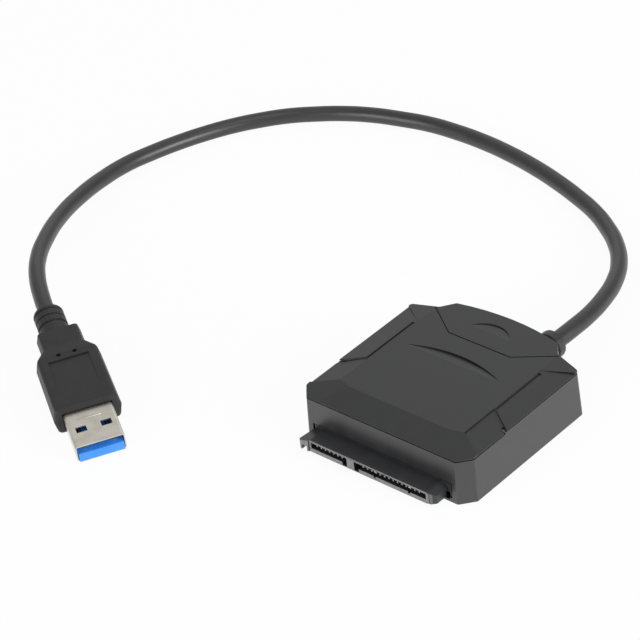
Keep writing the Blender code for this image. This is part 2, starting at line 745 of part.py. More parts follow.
def place_on_board(name, size, place, surface, bevel):
    """A bevelled block standing on the board."""
    half_x, half_y, height = size
    low = (place[0] - half_x, depth(place[1]) - half_y, BOARD_TOP + SEAT_GAP)
    high = (place[0] + half_x, depth(place[1]) + half_y, BOARD_TOP + SEAT_GAP + height)
    block = box(name, low, high, surface)
    edge = block.modifiers.new("edges", "BEVEL")
    edge.width = bevel
    edge.segments = 1
    return block


def make_board_parts():
    """The parts that the board carries."""
    place_on_board("bridge_chip", CHIP_SIZE, CHIP_PLACE, chip_black(), 0.0002)
    place_on_board("flash_chip", FLASH_SIZE, FLASH_PLACE, chip_black(), 0.0002)
    place_on_board("voltage_regulator", REGULATOR_SIZE, REGULATOR_PLACE, chip_black(), 0.0002)
    place_on_board("crystal", CRYSTAL_SIZE, CRYSTAL_PLACE, tin(), 0.0006)
    place_on_board("power_inductor", INDUCTOR_SIZE, INDUCTOR_PLACE, chip_black(), 0.0005)
    foot = BOARD_TOP + SEAT_GAP
    x, y = CAPACITOR_PLACE[0], depth(CAPACITOR_PLACE[1])
    cylinder("capacitor", (x, y, foot), (x, y, foot + CAPACITOR_HEIGHT), CAPACITOR_RADIUS, tin())


def contact_places():
    """Name, middle and length class of every contact of the receptacle."""
    places = []
    for i in range(SIGNAL_COUNT):
        places.append((f"signal_contact_{i + 1}", SIGNAL_FIRST_X + i * CONTACT_PITCH, False))
    for i in range(POWER_COUNT):
        x = POWER_FIRST_X + i * CONTACT_PITCH
        places.append((f"power_contact_{i + 1}", x, i + 1 in LONG_POWER_CONTACTS))
    return places


def comb_top(rib_places):
    """The toothed top edge of a slot, from right to left."""
    points = []
    for x in sorted(rib_places, reverse=True):
        points += [(x + RIB_WIDTH / 2, SLOT_TOP), (x + RIB_WIDTH / 2, SLOT_TOP - RIB_DROP),
                   (x - RIB_WIDTH / 2, SLOT_TOP - RIB_DROP), (x - RIB_WIDTH / 2, SLOT_TOP)]
    return points


def signal_ribs():
    return [SIGNAL_FIRST_X + (i + 0.5) * CONTACT_PITCH for i in range(SIGNAL_COUNT)]


def power_ribs():
    return [POWER_FIRST_X + (i + 0.5) * CONTACT_PITCH for i in range(POWER_COUNT - 1)]


def keyed_slot(slot, key_side, ribs):
    """Outline of one slot: comb above and the L-shaped key leg at one end."""
    left, right = slot
    key_foot = MOUTH_BOTTOM + KEY_LIP
    points = [(right, SLOT_TOP)] + comb_top(ribs) + [(left, SLOT_TOP)]
    if key_side < 0:
        points += [(left, key_foot), (left + KEY_WIDTH, key_foot), (left + KEY_WIDTH, SLOT_BOTTOM),
                   (right, SLOT_BOTTOM)]
    else:
        points += [(left, SLOT_BOTTOM), (right - KEY_WIDTH, SLOT_BOTTOM), (right - KEY_WIDTH, key_foot),
                   (right, key_foot)]
    return points


def ear(side, mouth_edge, width, reach, nose):
    """The guide on one side of the mouth: its top slopes outward and its front corner is cut off."""
    inner = mouth_edge - side * MOUTH_ROUND / 2
    outer = mouth_edge + side * width
    back = depth(WING_START) + WALL / 2
    front = depth(-reach)
    outline = [(inner, back), (inner, front), (outer - side * nose, front), (outer, front + nose),
               (side * min(abs(outer), WING_HALF), back)]
    block = slab(f"ear_{side}", outline, "Z", MOUTH_BOTTOM, MOUTH_TOP - SEAT_GAP, collection=CUTTERS)
    slope = (EAR_INNER_HEIGHT - EAR_OUTER_HEIGHT) / width

    def ear_top(x, y):
        return MOUTH_BOTTOM + EAR_INNER_HEIGHT - slope * (x - mouth_edge) * side

    far = outer + side * REACH_PAST
    near = inner - side * REACH_PAST
    above = sloped_prism(f"ear_top_{side}", [(near, front - REACH_PAST), (far, front - REACH_PAST),
                                             (far, back + REACH_PAST), (near, back + REACH_PAST)],
                         ear_top, MOUTH_TOP + REACH_PAST)
    return cut(block, [above])


def window_pocket(name, front, bottom):
    """The dark opening beside the right ear, cut from the tray and from the receptacle."""
    return box(name, (POCKET_SPAN[0], front, bottom), (POCKET_SPAN[1], depth(WALL + REACH_PAST), POCKET_TOP),
               collection=CUTTERS)


def contact_tunnels(front):
    """One cutter of 22 blocks, which carries every contact's lane through the body."""
    half = (CONTACT_PITCH - RIB_WIDTH) / 2 - SEAT_GAP / 2
    low, high = TUNNEL_BOTTOM, SLOT_TOP - SEAT_GAP
    back = depth(BODY_DEPTH) + REACH_PAST
    bm = bmesh.new()
    for name, x, is_long in contact_places():
        made = bmesh.ops.create_cube(bm, size=1.0)["verts"]
        bmesh.ops.scale(bm, vec=(2 * half, back - front, high - low), verts=made)
        bmesh.ops.translate(bm, vec=(x, (front + back) / 2, (low + high) / 2), verts=made)
    return add_mesh("contact_tunnels", bm, None, CUTTERS)


def make_sata_receptacle():
    """The moulded receptacle: comb-toothed slots with their keys, guide ears, and a body behind."""
    front = depth(-MOUTH_REACH)
    mouth_frame = round_outline([(MOUTH_LEFT, MOUTH_BOTTOM), (MOUTH_RIGHT, MOUTH_BOTTOM),
                                 (MOUTH_RIGHT, MOUTH_TOP), (MOUTH_LEFT, MOUTH_TOP)], MOUTH_ROUND)
    mouth = slab("sata_receptacle", mouth_frame, "Y", front, depth(WALL), connector_plastic())
    body = box("receptacle_body", (-WING_HALF, depth(WING_START), MOUTH_BOTTOM),
               (WING_HALF, depth(BODY_DEPTH), MOUTH_BOTTOM + WING_HEIGHT), collection=CUTTERS)
    join(mouth, [body, ear(-1, MOUTH_LEFT, LEFT_EAR_WIDTH, LEFT_EAR_REACH, LEFT_EAR_NOSE),
                 ear(1, MOUTH_RIGHT, RIGHT_EAR_WIDTH, RIGHT_EAR_REACH, RIGHT_EAR_NOSE)])
    ear_slot = box("ear_slot", (LEFT_EAR_SLOT[0], depth(-LEFT_EAR_REACH - REACH_PAST), 0.0),
                   (LEFT_EAR_SLOT[1], depth(WING_START), MOUTH_BOTTOM + LEFT_EAR_SLOT_HEIGHT),
                   collection=CUTTERS)
    cutters = [ear_slot, window_pocket("wing_pocket", depth(-POCKET_REACH), 0.0)]
    for label, slot, key_side, ribs in (("signal_slot", SIGNAL_SLOT, 1, signal_ribs()),
                                        ("power_slot", POWER_SLOT, -1, power_ribs())):
        outline = keyed_slot(slot, key_side, ribs)
        cutters.append(slab(label, outline, "Y", front - REACH_PAST, depth(WING_START), collection=CUTTERS))
    cutters.append(contact_tunnels(depth(-WALL)))
    for name, x, is_long in contact_places():
        if is_long:
            low = (x - NOTCH_HALF, front - REACH_PAST, SLOT_BOTTOM - NOTCH_DROP)
            high = (x + NOTCH_HALF, front + NOTCH_RUN, SLOT_BOTTOM + NOTCH_HALF)
            cutters.append(box(f"notch_{name}", low, high, collection=CUTTERS))
    return cut(mouth, cutters)


def strip_outline(path, thickness):
    """Outline of a bent strip from its lower side's points, each a (y, z) pair."""
    lower = [Vector(point) for point in path]
    upper = []
    for i, point in enumerate(lower):
        ahead = (lower[min(i + 1, len(lower) - 1)] - point)
        behind = (point - lower[max(i - 1, 0)])
        ahead = ahead.normalized() if ahead.length else behind.normalized()
        behind = behind.normalized() if behind.length else ahead
        side = Vector((-ahead.y - behind.y, ahead.x + behind.x)) / (1 + ahead.dot(behind))
        upper.append(point + side * thickness)
    return lower + list(reversed(upper))


def make_sata_contacts():
    """Spring contacts: through the body, bowed down into the slot, and soldered on the board."""
    level = TUNNEL_BOTTOM + CONTACT_FLOOR_GAP
    foot = BOARD_TOP + SEAT_GAP
    for name, x, is_long in contact_places():
        setback = LONG_CONTACT_SETBACK if is_long else CONTACT_SETBACK
        tip = depth(-MOUTH_REACH + setback)
        path = [(tip, level - CONTACT_DIP / 3), (tip + 2 * CONTACT_DIP, level - CONTACT_DIP),
                (depth(-CONTACT_DIP), level), (depth(BODY_DEPTH + CONTACT_DIP / 2), level),
                (depth(BODY_DEPTH + CONTACT_DIP), foot), (depth(BODY_DEPTH + CONTACT_TAIL), foot)]
        outline = strip_outline(path, CONTACT_THICKNESS)
        slab(name, outline, "X", x - CONTACT_WIDTH / 2, x + CONTACT_WIDTH / 2, gold())


def make_power_jack():
    """The round power socket beside the cable: moulded body, middle pin and side spring."""
    foot = BOARD_TOP + SEAT_GAP
    face = depth(JACK_FACE_DEPTH)
    body = box("dc_jack_body", (JACK_X - JACK_HALF, face - JACK_LENGTH, foot),
               (JACK_X + JACK_HALF, face, foot + JACK_HEIGHT), connector_plastic())
    middle = foot + JACK_HEIGHT / 2
    bore_end = face - JACK_BORE_LENGTH
    bore = cylinder("jack_bore", (JACK_X, bore_end, middle), (JACK_X, face + REACH_PAST, middle),
                    JACK_BORE_RADIUS, collection=CUTTERS, segments=24)
    cut(body, [bore])
    pin_base = bore_end + SEAT_GAP
    profile = [(0.0, JACK_BORE_LENGTH - JACK_PIN_SETBACK),
               (JACK_PIN_RADIUS * 0.6, JACK_BORE_LENGTH - JACK_PIN_SETBACK),
               (JACK_PIN_RADIUS, JACK_BORE_LENGTH - JACK_PIN_SETBACK - JACK_PIN_RADIUS * 0.4),
               (JACK_PIN_RADIUS, 0.0), (0.0, 0.0)]
    to_rear = Matrix.Translation((JACK_X, pin_base, middle)) @ Matrix.Rotation(-math.pi / 2, 4, "X")
    turned("dc_jack_pin", profile, to_rear, tin(), segments=16)
    wall = middle - JACK_BORE_RADIUS + JACK_SPRING_THICKNESS / 2 + SEAT_GAP
    path = [(pin_base, wall), (pin_base + JACK_BORE_LENGTH * 0.4, wall + JACK_SPRING_BOW),
            (pin_base + JACK_BORE_LENGTH * 0.7, wall)]
    slab("dc_jack_spring", strip_outline(path, JACK_SPRING_THICKNESS), "X",
         JACK_X - JACK_SPRING_HALF, JACK_X + JACK_SPRING_HALF, gold())


def make_cable_grommet():
    """The grommet moulded on the cable: bead outside, neck in the wall's slot, flange inside."""
    neck_in = BLOCK_DEPTH - WALL - GROMMET_CLEARANCE
    bead = [(0.0, GROMMET_END_DEPTH), (GROMMET_RADIUS - GROMMET_ROUND, GROMMET_END_DEPTH)]
    for step in (1, 2, 3):
        angle = math.pi / 6 * step
        bead.append((GROMMET_RADIUS - GROMMET_ROUND * (1 - math.sin(angle)),
                     GROMMET_END_DEPTH - GROMMET_ROUND * (1 - math.cos(angle))))
    bead += [(GROMMET_RADIUS, GROMMET_FACE_DEPTH + GROMMET_ROUND / 3),
             (GROMMET_RADIUS - GROMMET_ROUND / 3, GROMMET_FACE_DEPTH),
             (GROMMET_NECK_RADIUS, GROMMET_FACE_DEPTH), (GROMMET_NECK_RADIUS, neck_in),
             (GROMMET_RADIUS, neck_in), (GROMMET_RADIUS, GROMMET_INNER_DEPTH), (0.0, GROMMET_INNER_DEPTH)]
    to_rear = Matrix.Translation((CABLE_X, FRONT_Y, CABLE_HEIGHT)) @ Matrix.Rotation(-math.pi / 2, 4, "X")
    grommet = turned("cable_grommet", bead, to_rear, rubber())
    tab = box("grommet_tab", (CABLE_X - GROMMET_NECK_RADIUS, depth(neck_in - GROMMET_CLEARANCE), CABLE_HEIGHT),
              (CABLE_X + GROMMET_NECK_RADIUS, depth(BLOCK_DEPTH), TRAY_HEIGHT), collection=CUTTERS)
    return join(grommet, [tab])


def plug_matrix():
    """The plug's frame, with +X out of its mouth."""
    turn = (Matrix.Rotation(PLUG_YAW, 4, "Z") @ Matrix.Rotation(PLUG_NOSE_DOWN, 4, "Y")
            @ Matrix.Rotation(PLUG_ROLL, 4, "X"))
    return Matrix.Translation(PLUG_PLACE) @ turn


def smooth_route(route, step):
    """Points a step apart on one smooth Catmull-Rom curve through the route."""
    points = [Vector(place) for place in route]
    padded = [points[0] * 2 - points[1]] + points + [points[-1] * 2 - points[-2]]
    fine = []
    parts = 24
    for a, b, c, d in zip(padded, padded[1:], padded[2:], padded[3:]):
        for i in range(parts):
            t = i / parts
            fine.append(0.5 * (2 * b + (c - a) * t + (2 * a - 5 * b + 4 * c - d) * t ** 2
                               + (3 * b - a - 3 * c + d) * t ** 3))
    fine.append(points[-1])
    total = sum((q - p).length for p, q in zip(fine, fine[1:]))
    count = round(total / step)
    spaced = [fine[0]]
    walked = 0.0
    for p, q in zip(fine, fine[1:]):
        length = (q - p).length
        while len(spaced) < count and walked + length >= total * len(spaced) / count:
            spaced.append(p.lerp(q, (total * len(spaced) / count - walked) / length))
        walked += length
    spaced.append(fine[-1])
    return spaced


def make_cable():
    """The cable: one tube from the grommet's face to the plug's strain relief."""
    start = Vector((CABLE_X, depth(GROMMET_END_DEPTH) + CABLE_GAP, CABLE_HEIGHT))
    frame = plug_matrix()
    before_end = frame @ Vector((-RELIEF_END - CABLE_GAP - CABLE_DIAMETER, RELIEF_OFFSET, 0.0))
    end = frame @ Vector((-RELIEF_END - CABLE_GAP, RELIEF_OFFSET, 0.0))
    points = smooth_route([start, *CABLE_ROUTE, before_end, end], CABLE_STEP)
    data = bpy.data.curves.new("cable", "CURVE")
    data.dimensions = "3D"
    data.bevel_depth = CABLE_DIAMETER / 2
    data.bevel_resolution = 2
    data.use_fill_caps = True
    spline = data.splines.new("POLY")
    spline.points.add(len(points) - 1)
    for point, place in zip(spline.points, points):
        point.co = (*place, 1.0)
    cable = bpy.data.objects.new("cable", data)
    data.materials.append(rubber())
    bpy.data.collections[PARTS].objects.link(cable)
    return cable


def rounded_section(along, half_width, half_height, radius):
    """A rounded rectangle across the plug's axis."""
    corners = [(half_width, half_height), (-half_width, half_height),
               (-half_width, -half_height), (half_width, -half_height)]
    return [(along, point[0], point[1]) for point in round_outline(corners, radius, 3)]


def grip_section(along, half_width, half_height):
    """A section of the grip, whose side walls are drafted both ways from the parting line."""
    narrow = half_width - MOULD_SIDE_DRAFT
    corners = [(half_width, 0.0), (narrow, half_height), (-narrow, half_height),
               (-half_width, 0.0), (-narrow, -half_height), (narrow, -half_height)]
    return [(along, point[0], point[1]) for point in round_outline(corners, MOULD_ROUND, 3)]


def relief_profile():
    """Outline of the strain relief from its domed end to the grip's neck, with its ring grooves."""
    slope = (RELIEF_END - RELIEF_GROOVE_START - (RELIEF_GROOVES - 1) * RELIEF_GROOVE_PITCH) / 4
    profile = [(0.0, RELIEF_END), (RELIEF_GROOVE_RADIUS - slope, RELIEF_END),
               (RELIEF_GROOVE_RADIUS, RELIEF_END - slope / 3), (RELIEF_RADIUS, RELIEF_END - slope * 1.3),
               (RELIEF_RING_RADIUS, RELIEF_END - slope * 2.4)]
    for i in reversed(range(RELIEF_GROOVES)):
        middle = RELIEF_GROOVE_START + i * RELIEF_GROOVE_PITCH
        ahead = RELIEF_RING_RADIUS if i else RELIEF_RADIUS
        profile += [(RELIEF_RING_RADIUS, middle + RELIEF_GROOVE / 2),
                    (RELIEF_GROOVE_RADIUS, middle + RELIEF_GROOVE / 6),
                    (RELIEF_GROOVE_RADIUS, middle - RELIEF_GROOVE / 6), (ahead, middle - RELIEF_GROOVE / 2)]
    return profile + [(RELIEF_RADIUS, MOULD_NECK_START), (0.0, MOULD_NECK_START)]


def make_plug_overmold(frame):
    """The moulded grip: a body with shoulders, a neck and a ringed, slightly flattened strain relief."""
    inset = MOULD_BEVEL
    sections = [
        (-SHELL_REACH, MOULD_HALF - inset, MOULD_HALF_HEIGHT - inset),
        (-SHELL_REACH - inset / 3, MOULD_HALF - inset / 3, MOULD_HALF_HEIGHT - inset / 3),
        (-SHELL_REACH - inset, MOULD_HALF, MOULD_HALF_HEIGHT),
        (-MOULD_SHOULDER, MOULD_SHOULDER_HALF, MOULD_SHOULDER_HALF_HEIGHT),
        (-MOULD_SHOULDER - inset, MOULD_SHOULDER_HALF - inset / 3, MOULD_SHOULDER_HALF_HEIGHT),
        (-MOULD_NECK_START, MOULD_NECK_HALF, MOULD_NECK_HALF_HEIGHT),
        (-MOULD_NECK_END + inset, MOULD_NECK_HALF, MOULD_NECK_HALF_HEIGHT),
        (-MOULD_NECK_END, MOULD_NECK_HALF - inset, MOULD_NECK_HALF_HEIGHT - inset),
    ]
    grip = loft("plug_overmold", [grip_section(*section) for section in sections], rubber())
    flatten = Matrix.Scale(RELIEF_FLATTENING, 4, (0.0, 0.0, 1.0))
    backwards = Matrix.Rotation(-math.pi / 2, 4, "Y")
    aside = Matrix.Translation((0.0, RELIEF_OFFSET, 0.0))
    relief = turned("strain_relief", relief_profile(), aside @ flatten @ backwards, collection=CUTTERS,
                    segments=24)
    join(grip, [relief])
    socket_half = SHELL_HALF + SHELL_CLEARANCE
    socket_height = SHELL_HALF_HEIGHT + SHELL_CLEARANCE
    socket = box("shell_socket", (-SHELL_REACH - SHELL_BURIED - SHELL_CLEARANCE, -socket_half, -socket_height),
                 (0.0, socket_half, socket_height), collection=CUTTERS)
    near, far = PANEL_LENGTH
    panel = [(-near, -PANEL_WIDTH_HALF), (-near, PANEL_WIDTH_HALF), (-far, PANEL_WIDTH_HALF),
             (-far, -PANEL_WIDTH_HALF)]
    panel_cut = sloped_prism("panel_pocket", panel,
                             lambda x, y: MOULD_HALF_HEIGHT - PANEL_SINK * (-x - near) / (far - near),
                             MOULD_HALF_HEIGHT + REACH_PAST)
    dimples = []
    for side in (-1, 1):
        place = (-DIMPLE_PLACE[0], side * DIMPLE_PLACE[1])
        dimples.append(cylinder(f"dimple_{side}", (*place, MOULD_HALF_HEIGHT - DIMPLE_SINK),
                                (*place, MOULD_HALF_HEIGHT + REACH_PAST), DIMPLE_RADIUS,
                                collection=CUTTERS, segments=12))
    cutters = [socket, panel_cut, *dimples]
    cut(grip, cutters)
    follow(frame, [grip, relief, *cutters])


def follow(frame, objects):
    """Parent objects to the plug's frame, keeping their places in it."""
    for obj in objects:
        obj.parent = frame


def make_plug_shell(frame):
    """The folded steel shell, open in front, with two latching windows above and below."""
    inner_half = SHELL_HALF - SHELL_SHEET
    inner_height = SHELL_HALF_HEIGHT - SHELL_SHEET
    back = -SHELL_REACH - SHELL_BURIED
    rings = [rounded_section(0.0, SHELL_HALF, SHELL_HALF_HEIGHT, SHELL_ROUND),
             rounded_section(back, SHELL_HALF, SHELL_HALF_HEIGHT, SHELL_ROUND),
             rounded_section(back, inner_half, inner_height, SHELL_ROUND - SHELL_SHEET),
             rounded_section(0.0, inner_half, inner_height, SHELL_ROUND - SHELL_SHEET)]
    shell = loft("plug_shell", rings, steel(), ring_closed=True)
    windows = []
    for i, side in enumerate((-1, 1)):
        middle = side * WINDOW_PLACE[1]
        windows.append(box(f"shell_window_{i}",
                           (-WINDOW_PLACE[0] - WINDOW_SIZE[0] / 2, middle - WINDOW_SIZE[1] / 2, -2 * SHELL_HALF_HEIGHT),
                           (-WINDOW_PLACE[0] + WINDOW_SIZE[0] / 2, middle + WINDOW_SIZE[1] / 2, 2 * SHELL_HALF_HEIGHT),
                           collection=CUTTERS))
    cut(shell, windows)
    follow(frame, [shell, *windows])


def tongue_levels():
    """Underside and top of the plug's tongue."""
    low = -SHELL_HALF_HEIGHT + SHELL_SHEET + SEAT_GAP
    return low, low + TONGUE_THICKNESS


def make_plug_insulator(frame):
    """The blue insulator: a tongue along the shell's floor and a block that closes its back."""
    low, top = tongue_levels()
    back = -SHELL_REACH - SHELL_BURIED + SEAT_GAP
    ceiling = SHELL_HALF_HEIGHT - SHELL_SHEET - SEAT_GAP
    block_front = back + TONGUE_BLOCK_LENGTH
    front = SEAT_GAP + TONGUE_LIP
    outline = [(SEAT_GAP, -SHELL_HALF_HEIGHT), (front, -SHELL_HALF_HEIGHT), (front, top - TONGUE_CHAMFER),
               (front - TONGUE_CHAMFER, top), (block_front, top), (block_front, ceiling),
               (back, ceiling), (back, low), (SEAT_GAP, low)]
    insulator = slab("plug_insulator", outline, "Y", -TONGUE_HALF, TONGUE_HALF, blue_plastic())
    follow(frame, [insulator])


def make_plug_contacts(frame):
    """Four flat contacts near the mouth and five raised ones behind them."""
    top = tongue_levels()[1] + SEAT_GAP
    for i, y in enumerate(USB_CONTACT_X):
        contact = box(f"usb_contact_{i + 1}", (-USB_CONTACT_END, y - USB_CONTACT_HALF, top),
                      (-USB_CONTACT_STARTS[i], y + USB_CONTACT_HALF, top + PLUG_CONTACT_THICKNESS), gold())
        follow(frame, [contact])
    for i, y in enumerate(SPEED_CONTACT_X):
        near, far = SPEED_CONTACT_SPAN
        path = [(-far, top), (-(near + far) / 2, top + 2 * PLUG_CONTACT_THICKNESS), (-near, top)]
        contact = slab(f"superspeed_contact_{i + 1}", strip_outline(path, PLUG_CONTACT_THICKNESS), "Y",
                       y - SPEED_CONTACT_HALF, y + SPEED_CONTACT_HALF, gold())
        follow(frame, [contact])


def make_plug():
    """Every piece of the plug, carried by one empty at its mouth."""
    frame = bpy.data.objects.new("plug_frame", None)
    bpy.data.collections[PARTS].objects.link(frame)
    frame.matrix_world = plug_matrix()
    make_plug_overmold(frame)
    make_plug_shell(frame)
    make_plug_insulator(frame)
    make_plug_contacts(frame)


def main():
    clear_scene()
    make_bottom_shell()
    make_top_cover()
    make_circuit_board()
    make_board_parts()
    make_sata_receptacle()
    make_sata_contacts()
    make_power_jack()
    make_cable_grommet()
    make_cable()
    make_plug()
    bpy.context.view_layer.update()


main()
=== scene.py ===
# %% [markdown]
# # A drive adapter with its cable and plug
# The real thing is a moulded box with a drive receptacle, a rubber cable and a steel plug. The CAD
# model already gives every rigid piece its shape. This lesson adds what makes it look real: edges
# that catch light, moulded, metal and rubber finishes, a smooth cable, a studio and a camera.

# %% Load the imported model
import bpy
import bmesh
import json
import math
from mathutils import Matrix, Vector


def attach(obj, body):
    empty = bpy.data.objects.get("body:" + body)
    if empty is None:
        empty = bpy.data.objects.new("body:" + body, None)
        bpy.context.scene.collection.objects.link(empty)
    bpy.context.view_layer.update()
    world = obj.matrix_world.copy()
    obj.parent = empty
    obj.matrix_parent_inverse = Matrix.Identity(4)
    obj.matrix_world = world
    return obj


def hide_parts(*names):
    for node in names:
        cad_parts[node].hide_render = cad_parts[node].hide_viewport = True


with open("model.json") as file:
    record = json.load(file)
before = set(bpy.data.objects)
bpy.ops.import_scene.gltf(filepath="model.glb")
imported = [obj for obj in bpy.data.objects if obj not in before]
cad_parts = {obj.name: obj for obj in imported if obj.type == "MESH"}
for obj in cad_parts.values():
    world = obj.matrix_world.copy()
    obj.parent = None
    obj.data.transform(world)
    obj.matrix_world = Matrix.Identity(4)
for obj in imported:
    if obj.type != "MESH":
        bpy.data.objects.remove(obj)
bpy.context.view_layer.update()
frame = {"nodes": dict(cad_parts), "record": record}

NODES = frame["nodes"]

# %% [markdown]
# ## The camera
# The photographed view looks down on the right front corner from about 0.7 m with a long lens, so
# the box shows almost no perspective. A camera could be aimed at a target by a constraint, but the
# picture is also slightly rolled, so three perpendicular directions give the camera's turn.

# %% Camera at the photographed view
CAMERA_PLACE = Vector((0.379695, -0.412505, 0.416961))
CAMERA_RIGHT = Vector((0.74780, 0.65553, -0.10522))
CAMERA_UP = Vector((-0.31066, 0.48554, 0.81715))
CAMERA_BACK = Vector((0.58676, -0.57838, 0.56674))
LENS_MM = 168.7
SENSOR_MM = 36.0
NEAREST_SEEN = 0.01

camera_data = bpy.data.cameras.new("camera")
camera_data.lens = LENS_MM
camera_data.sensor_width = SENSOR_MM
camera_data.clip_start = NEAREST_SEEN
camera = bpy.data.objects.new("camera", camera_data)
bpy.context.scene.collection.objects.link(camera)
camera_turn = Matrix((CAMERA_RIGHT, CAMERA_UP, CAMERA_BACK)).transposed()
camera.matrix_world = Matrix.Translation(CAMERA_PLACE) @ camera_turn.to_4x4()
bpy.context.scene.camera = camera
print("camera height in mm:", round(CAMERA_PLACE.z * 1000))

# %% [markdown]
# ## The route of the cable
# The real cable is one stiff round jacket that leaves the box, comes down to the desk in a wide
# bow and climbs again into the plug. Its course could be simulated, but the photograph shows all
# of it, so it is given by points in millimetres. The plug lies tilted on the desk, and the last
# two points are counted in the plug's own directions, so that the cable goes straight into it.

# %% Route from the box to the plug
JACKET_DIAMETER = 0.0043
ROUTE_MM = (
    (9.2, 29.1, 7.6), (9.2, 35.5, 7.5), (8.6, 42.2, 6.95), (6.8, 50.4, 6.1), (3.7, 59.0, 5.05),
    (-1.3, 67.7, 4.0), (-7.9, 75.1, 3.15), (-14.6, 80.4, 2.6), (-21.8, 84.8, 2.3),
    (-29.3, 88.0, 2.18), (-38.4, 91.1, 2.18), (-48.1, 93.7, 2.18), (-57.8, 95.5, 2.18),
    (-67.2, 96.5, 2.18), (-76.4, 96.6, 2.18), (-85.2, 95.9, 2.18), (-93.4, 94.0, 2.18),
    (-101.2, 91.6, 2.18), (-108.5, 88.2, 2.18), (-115.1, 83.9, 2.18), (-121.0, 79.2, 2.18),
    (-126.1, 73.6, 2.18), (-130.7, 67.3, 2.18), (-134.5, 60.3, 2.22), (-137.4, 52.9, 2.4),
    (-139.6, 44.9, 2.7), (-140.9, 36.4, 3.2), (-140.3, 26.4, 4.0), (-137.9, 16.1, 5.2),
    (-133.6, 4.9, 6.7), (-126.9, -6.9, 8.37), (-121.5, -14.4, 9.21), (-115.2, -20.9, 9.6),
)
PLUG_PLACE = Vector((-0.05848, -0.05679, 0.00272))
PLUG_TURNS_DEG = (("Z", -31.88), ("Y", 6.5), ("X", 2.5))
TAIL_END = 0.0522
TAIL_ASIDE = -0.0005

PLUG = Matrix.Translation(PLUG_PLACE)
for axis, degrees in PLUG_TURNS_DEG:
    PLUG = PLUG @ Matrix.Rotation(math.radians(degrees), 4, axis)
route = [Vector(point) / 1000 for point in ROUTE_MM]
for behind in (TAIL_END + JACKET_DIAMETER, TAIL_END):
    route.append(PLUG @ Vector((-behind, TAIL_ASIDE, 0)))

# %% [markdown]
# ## The jacket
# The jacket is the cable's round rubber skin. A mesh tube could be swept along the route, but a
# Bezier curve with automatic handles bends as smoothly as the real thing and stays easy to move,
# and its round bevel is the jacket. The radius is set on the points, with a bevel of 1, because
# Blender adds the points' radius to the curve's own box, which would be far too big otherwise.

# %% Jacket on the route
jacket_curve = bpy.data.curves.new("cable_jacket", "CURVE")
jacket_curve.dimensions = "3D"
jacket_curve.bevel_depth = 1.0
jacket_curve.bevel_resolution = 5
jacket_curve.resolution_u = 8
jacket_curve.use_fill_caps = True
line = jacket_curve.splines.new("BEZIER")
line.bezier_points.add(len(route) - 1)
for knot, place in zip(line.bezier_points, route):
    knot.co = place
    knot.radius = JACKET_DIAMETER / 2
    knot.handle_left_type = knot.handle_right_type = "AUTO"
cable_jacket = bpy.data.objects.new("cable_jacket", jacket_curve)
bpy.context.scene.collection.objects.link(cable_jacket)
print("jacket diameter in mm:", JACKET_DIAMETER * 1000)

# %% [markdown]
# ## Where the cable hangs
# A curve alone is only a shape. It is hung on the root body, and the CAD's plain tube is hidden.
# The plug's parts are listed too, because they are separate pieces that sit on the cable.

# %% Hang the cable on the root and hide the tube
PLUG_NODES = ["plug_overmold", "plug_shell", "plug_insulator"]
PLUG_NODES += [f"usb_contact_{i}" for i in range(1, 5)]
PLUG_NODES += [f"superspeed_contact_{i}" for i in range(1, 6)]
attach(cable_jacket, "root")
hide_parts("cable")
print("pieces on the cable:", len(PLUG_NODES) + 1)

# %% [markdown]
# ## Softened edges
# Moulded plastic and folded steel never have a knife edge. The rounding could be part of the CAD,
# but it would cost thousands of faces there. Here each piece first has its flat triangles merged
# by a planar Decimate, and then gets a narrow Bevel on its real corners only. Both are modifiers,
# so the CAD's own points and faces stay as they are, and only their shading is set to smooth.

# %% Bevel the moulded pieces
FLAT_WITHIN_DEG = 1.0
CORNER_FROM_DEG = 28
EDGE_WIDTHS = {
    "top_cover": 0.00012,
    "bottom_shell": 0.00018,
    "sata_receptacle": 0.00012,
    "dc_jack_body": 0.00015,
    "plug_overmold": 0.00018,
    "plug_shell": 0.00008,
    "plug_insulator": 0.00008,
    "cable_grommet": 0.00015,
}


def soften(piece, width):
    """Merge flat triangles, round the real corners and shade the curved faces smooth."""
    for face in piece.data.polygons:
        face.use_smooth = True
    merge = piece.modifiers.new("merge flats", "DECIMATE")
    merge.decimate_type = "DISSOLVE"
    merge.angle_limit = math.radians(FLAT_WITHIN_DEG)
    edge = piece.modifiers.new("soft edges", "BEVEL")
    edge.width = width
    edge.segments = 2
    edge.limit_method = "ANGLE"
    edge.angle_limit = math.radians(CORNER_FROM_DEG)
    edge.harden_normals = True
    edge.use_clamp_overlap = True


for name, width in EDGE_WIDTHS.items():
    soften(NODES[name], width)
print("softened:", ", ".join(EDGE_WIDTHS))

# %% [markdown]
# ## Finishes
# Each finish is a Principled shader whose colour, roughness and bump come from noise at the size
# of the real texture: a fine spark-eroded grain on the box, a smoother skin on the rubber, long
# thin rolling lines on the steel. Photographs of surfaces would repeat and blur close up, while
# noise stays sharp. Two small helpers make a fresh material and a node with its values set.

# %% Helpers for a fresh finish


def new_finish(name, roughness, metallic=0.0):
    """A fresh material with its node tree and shader."""
    finish = bpy.data.materials.new(name)
    finish.use_nodes = True
    shader = finish.node_tree.nodes["Principled BSDF"]
    shader.inputs["Roughness"].default_value = roughness
    shader.inputs["Metallic"].default_value = metallic
    return finish, finish.node_tree, shader


def add_node(tree, kind, **settings):
    """A node with its input values set by name."""
    node = tree.nodes.new(kind)
    for key, value in settings.items():
        node.inputs[key.replace("_", " ")].default_value = value
    return node


print("helpers ready: new_finish, add_node")

